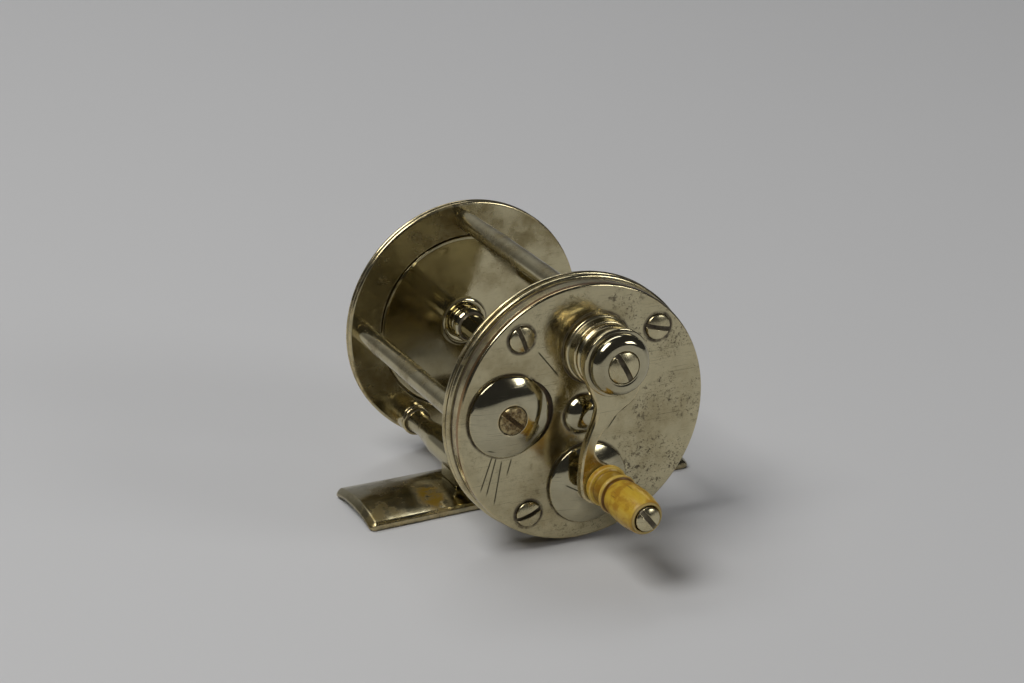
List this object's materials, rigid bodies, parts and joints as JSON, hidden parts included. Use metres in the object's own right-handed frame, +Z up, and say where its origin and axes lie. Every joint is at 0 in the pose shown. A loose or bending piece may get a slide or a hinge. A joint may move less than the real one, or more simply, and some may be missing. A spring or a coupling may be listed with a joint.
{
  "type": "multiplying fishing reel",
  "caption": "Small open-frame multiplying fishing reel with a geared crank, turned bone knob, sliding click and drag buttons and a curved rod foot.",
  "frame": {"origin": "middle of the flat centre strip under the foot, where the reel sits on a rod", "axes": "+X along the foot, to the right when facing the crank; +Y along the spool axis from the crank side to the tail plate; +Z up"},
  "size_m": [0.0682, 0.0823, 0.0514],
  "materials": {
    "nickel_face": "worn satin nickel silver, lightly pitted",
    "nickel_body": "aged nickel silver with yellowed edges",
    "nickel_foot": "dark aged nickel silver",
    "nickel_bright": "polished nickel silver",
    "screw_metal": "worn nickel silver screw heads",
    "rusty_screw": "steel with brown rust",
    "bone": "polished yellowed bone",
    "gear_brass": "machined brass",
    "spring_steel": "ground steel"
  },
  "bodies": {
    "frame": {"gear_housing": "nickel_body", "face_plate": "nickel_face", "face_screws": "screw_metal", "housing_bush": "gear_brass", "head_bearing_cap": "nickel_body", "crank_collar": "nickel_body", "tail_plate": "nickel_body", "tail_bearing_bush": "gear_brass", "tail_bearing_cap": "nickel_body", "tail_pillar_screws": "screw_metal", "pillar_top": "nickel_body", "pillar_left": "nickel_body", "pillar_right": "nickel_body", "foot_pillar_left": "nickel_body", "foot_pillar_right": "nickel_body", "reel_foot": "nickel_foot", "foot_screws": "screw_metal"},
    "crank": {"crank_shaft": "spring_steel", "crank_hub": "nickel_body", "crank_arm": "nickel_body", "crank_cap": "nickel_bright", "crank_screw": "screw_metal", "main_gear": "gear_brass", "knob_spindle": "spring_steel", "knob_screw": "screw_metal"},
    "knob_turning": {"knob": "bone"},
    "spool": {"spool_shaft": "spring_steel", "spool_arbor": "nickel_bright", "spool_head_flange": "nickel_bright", "spool_tail_flange": "nickel_bright", "spool_pinion": "spring_steel", "click_wheel": "gear_brass"},
    "click": {"click_button": "nickel_bright", "click_button_screw": "rusty_screw", "click_stem": "gear_brass", "click_spring": "spring_steel"},
    "pawl": {"click_pawl": "spring_steel"},
    "drag": {"drag_button": "nickel_bright", "drag_button_screw": "rusty_screw", "drag_stem": "gear_brass", "drag_leaf": "spring_steel"}
  },
  "joints": [
    {"name": "crank_spin", "type": "hinge", "parent": "frame", "child": "crank", "pos_m": [0.00258, -0.0291, 0.03708], "axis": [0, 1, 0], "continuous": true},
    {"name": "spool_spin", "type": "hinge", "parent": "frame", "child": "spool", "pos_m": [0, 0, 0.0245], "axis": [0, 1, 0], "continuous": true},
    {"name": "knob_spin", "type": "hinge", "parent": "crank", "child": "knob_turning", "pos_m": [0.00048, -0.0455, 0.01357], "axis": [0, 1, 0], "continuous": true},
    {"name": "click_slide", "type": "slide", "parent": "frame", "child": "click", "axis": [0.9889, 0, -0.1489], "range_m": [0, 0.0016]},
    {"name": "click_pawl_swing", "type": "hinge", "parent": "click", "child": "pawl", "pos_m": [-0.01246, -0.0268, 0.02638], "axis": [0, 1, 0], "range_deg": [-10, 10], "stiffness_Nm_per_rad": 0.0005},
    {"name": "drag_slide", "type": "slide", "parent": "frame", "child": "drag", "axis": [0.0632, 0, -0.998], "range_m": [0, 0.0016]}
  ],
  "couplings": [
    {"joint": "crank_spin", "follows": "spool_spin", "ratio": -0.25}
  ]
}
